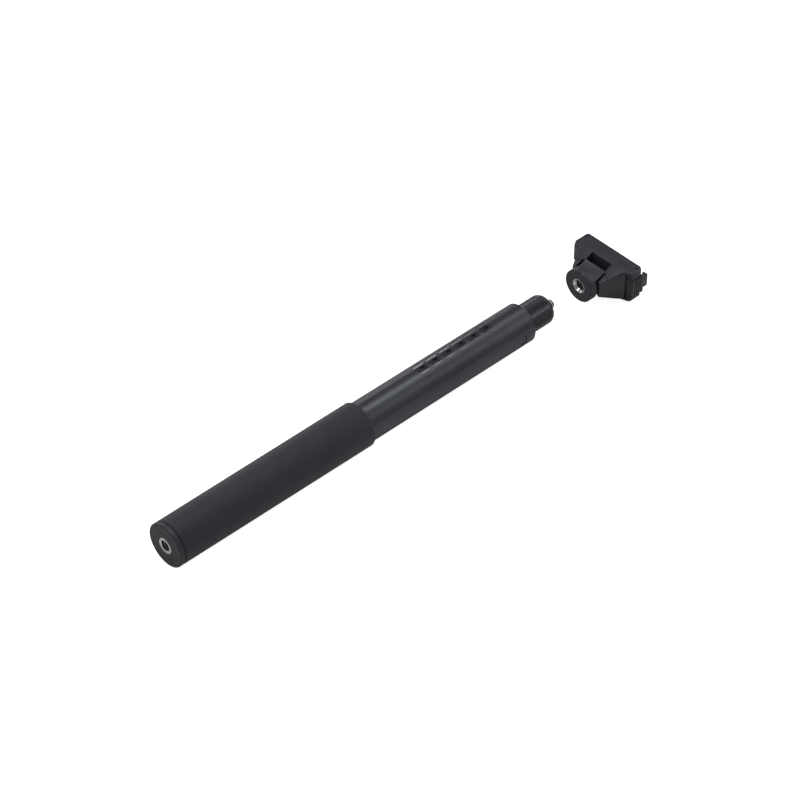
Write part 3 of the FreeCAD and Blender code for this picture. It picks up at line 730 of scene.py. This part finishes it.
def softened(cad_node, name, width, corner=0.0):
    """A copy of a CAD piece with its flat faces cleaned up and its edges rounded by width. With a corner
    radius, the two corners at the front of the plate are first cut round, as seen from above."""
    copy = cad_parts[cad_node].copy()
    copy.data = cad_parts[cad_node].data.copy()
    copy.parent = None
    for key in list(copy.keys()):
        del copy[key]
    bpy.context.scene.collection.objects.link(copy)
    copy.name = name
    picked(copy)
    bpy.ops.object.mode_set(mode="EDIT")
    bpy.ops.mesh.select_all(action="SELECT")
    bpy.ops.mesh.remove_doubles(threshold=2e-6)
    bpy.ops.mesh.select_all(action="SELECT")
    bpy.ops.mesh.dissolve_limited(angle_limit=radians(1))
    slants = range(15, 90, 15) if corner else ()
    for slant in slants:
        for side in (1, -1):
            normal = Vector((cos(radians(slant)), side * sin(radians(slant)), 0))
            centre = Vector((plate_high.x - corner, side * (plate_high.y - corner), 0))
            bpy.ops.mesh.select_all(action="SELECT")
            bpy.ops.mesh.bisect(plane_co=centre + corner * normal, plane_no=normal, use_fill=True,
                                clear_outer=True)
    bpy.ops.object.mode_set(mode="OBJECT")
    broken_edges(copy, width)
    return copy


adapter_finish = moulded("adapter_plastic", (0.0266, 0.0287, 0.0348), (0.0342, 0.0366, 0.0443), 0.44)
plate_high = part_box("front_cover")[1]
plate_corner = 0.0035
adapter_body = softened("adapter_body", "adapter_body_moulded", 0.00035, plate_corner)
coated(adapter_body, adapter_finish)
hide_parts("adapter_body")
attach(adapter_body, "adapter")


# Front cover: a second moulding in the same nylon, screwed on from the front. It closes the plate over the
# two nickel-plated magnets that draw the camera in.
front_cover = softened("front_cover", "front_cover_moulded", 0.0003, plate_corner)
coated(front_cover, adapter_finish)
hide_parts("front_cover")
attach(front_cover, "adapter")
nickel = bright_metal("magnet_nickel", (0.68, 0.66, 0.62), 0.2)
for side in ("left", "right"):
    as_made(f"seat_magnet_{side}", nickel)


# Cover screws: four small steel screws with a cross recess, driven from the front through the cover into the
# body. Their heads lie a little below the cover's face.
def hollowed(piece, tool):
    """Cuts a tool's shape out of a piece."""
    picked(piece)
    cut = piece.modifiers.new("cut", "BOOLEAN")
    cut.operation = "DIFFERENCE"
    cut.solver = "EXACT"
    cut.use_self = True
    cut.object = tool
    bpy.ops.object.modifier_apply(modifier="cut")
    bpy.data.objects.remove(tool)


screws_low, screws_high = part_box("cover_screws")
head_radius = 0.00145
head_back = screws_high.x - 0.0007
screw_radius = 0.0008
screw_edge = 0.0003
screw_tip = 0.0004
head_edge = 0.0002
first_screw = turned("cover_screw_1", [
    (screws_low.x, 0), (screws_low.x, screw_radius - screw_edge), (screws_low.x + screw_tip, screw_radius),
    (head_back, screw_radius), (head_back, head_radius), (screws_high.x - head_edge, head_radius),
    (screws_high.x, head_radius - screw_edge), (screws_high.x, 0),
], steps=48)
arm_length = 0.0017
arm_width = 0.0004
recess_place = (screws_high.x, 0, 0)
recess_depth = 0.0009
hollowed(first_screw, joined(
    block("recess_across", (recess_depth, arm_length, arm_width), recess_place),
    block("recess_upright", (recess_depth, arm_width, arm_length), recess_place)))
bpy.ops.object.shade_smooth_by_angle(angle=radians(25))
coated(first_screw, spring_steel)
screws = [first_screw]
for number in (2, 3, 4):
    picked(first_screw)
    bpy.ops.object.duplicate(linked=False)
    bpy.context.object.name = f"cover_screw_{number}"
    screws.append(bpy.context.object)
screw_places = [(across, up) for across in (screws_low.y + head_radius, screws_high.y - head_radius)
                for up in (screws_low.z + head_radius, screws_high.z - head_radius)]
for screw, (across, up) in zip(screws, screw_places):
    picked(screw)
    bpy.ops.object.mode_set(mode="EDIT")
    bpy.ops.mesh.select_all(action="SELECT")
    bpy.ops.transform.translate(value=(0, across, up))
    bpy.ops.object.mode_set(mode="OBJECT")
    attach(screw, "adapter")
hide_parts("cover_screws")


# Seat pad and boss ring: thin black rubber sheets, cut to shape and glued in, one where the camera bears on
# the cover and one where the knurled wheel bears on the boss.
pad_finish = rubber("pad_rubber", (0.0285, 0.0297, 0.0348), (0.0342, 0.0356, 0.0422), 0.7)
seat_pad = softened("seat_pad", "seat_pad_rubber", 0.0002)
coated(seat_pad, pad_finish)
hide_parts("seat_pad")
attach(seat_pad, "adapter")
ring_low, ring_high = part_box("boss_ring")
ring_edge = 0.0003
insert_radius = 0.00485
ring_inside = insert_radius + 0.00002
ring_lead_in = 0.0002
boss_ring = turned("boss_ring_rubber", [
    (ring_low.x, insert_radius + ring_lead_in), (ring_low.x, ring_high.z - ring_edge),
    (ring_low.x + ring_edge, ring_high.z), (ring_high.x, ring_high.z), (ring_high.x, ring_inside),
    (ring_low.x + ring_lead_in, ring_inside),
])
bpy.ops.object.shade_smooth_by_angle(angle=radians(30))
coated(boss_ring, pad_finish)
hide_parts("boss_ring")
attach(boss_ring, "adapter")


# Adapter insert: a threaded bush in the same steel as the tripod socket, moulded into the boss, with a deep
# cone that leads the stud in.
insert_low, insert_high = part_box("adapter_insert")
insert_edge = 0.0001
cone_radius = 0.0045
cone_depth = 0.0017
insert_shell = turned("insert_shell", [
    (insert_low.x, cone_radius), (insert_low.x, insert_radius - insert_edge),
    (insert_low.x + insert_edge, insert_radius), (insert_high.x, insert_radius),
    (insert_high.x, socket_bore), (insert_low.x + cone_depth, socket_bore),
])
bpy.ops.object.shade_smooth_by_angle(angle=radians(30))
coated(insert_shell, steel, painted_shade_steel)
# The bore's faces behind the cone take the darker steel, as painted shade.
for face in insert_shell.data.polygons:
    in_bore = from_axis(face.center) < socket_bore + insert_edge
    face.material_index = int(face.center.x > insert_low.x + cone_depth and in_bore)
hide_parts("adapter_insert")
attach(insert_shell, "adapter")
# The insert's ridge is half a pitch from the stud's, so that it lies between the stud's turns once the
# adapter is screwed on.
seat_travel = 0.0291
insert_thread_start = stud_thread_start + seat_travel + 2.5 * pitch
insert_thread = threaded("insert_thread", insert_thread_start, turns=6, crest=inner_crest, root=inner_root,
                         inside=True)
# This thread also takes the darker steel, as painted shade in the hole.
coated(insert_thread, painted_shade_steel)
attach(insert_thread, "adapter")


# Release levers: two mirrored mouldings on pins at the plate's ends, each with a leg to press, a ribbed
# block and a hook. A torsion spring on each pin pushes the leg outwards.
lever_finish = moulded("lever_plastic", (0.0295, 0.0315, 0.037), (0.0375, 0.04, 0.047), 0.44)
for side in ("left", "right"):
    lever = softened(f"release_lever_{side}", f"release_lever_{side}_moulded", 0.0004)
    coated(lever, lever_finish)
    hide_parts(f"release_lever_{side}")
    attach(lever, f"lever_{side}")
    as_made(f"lever_pin_{side}", spring_steel)
    as_made(f"lever_spring_{side}", spring_steel)
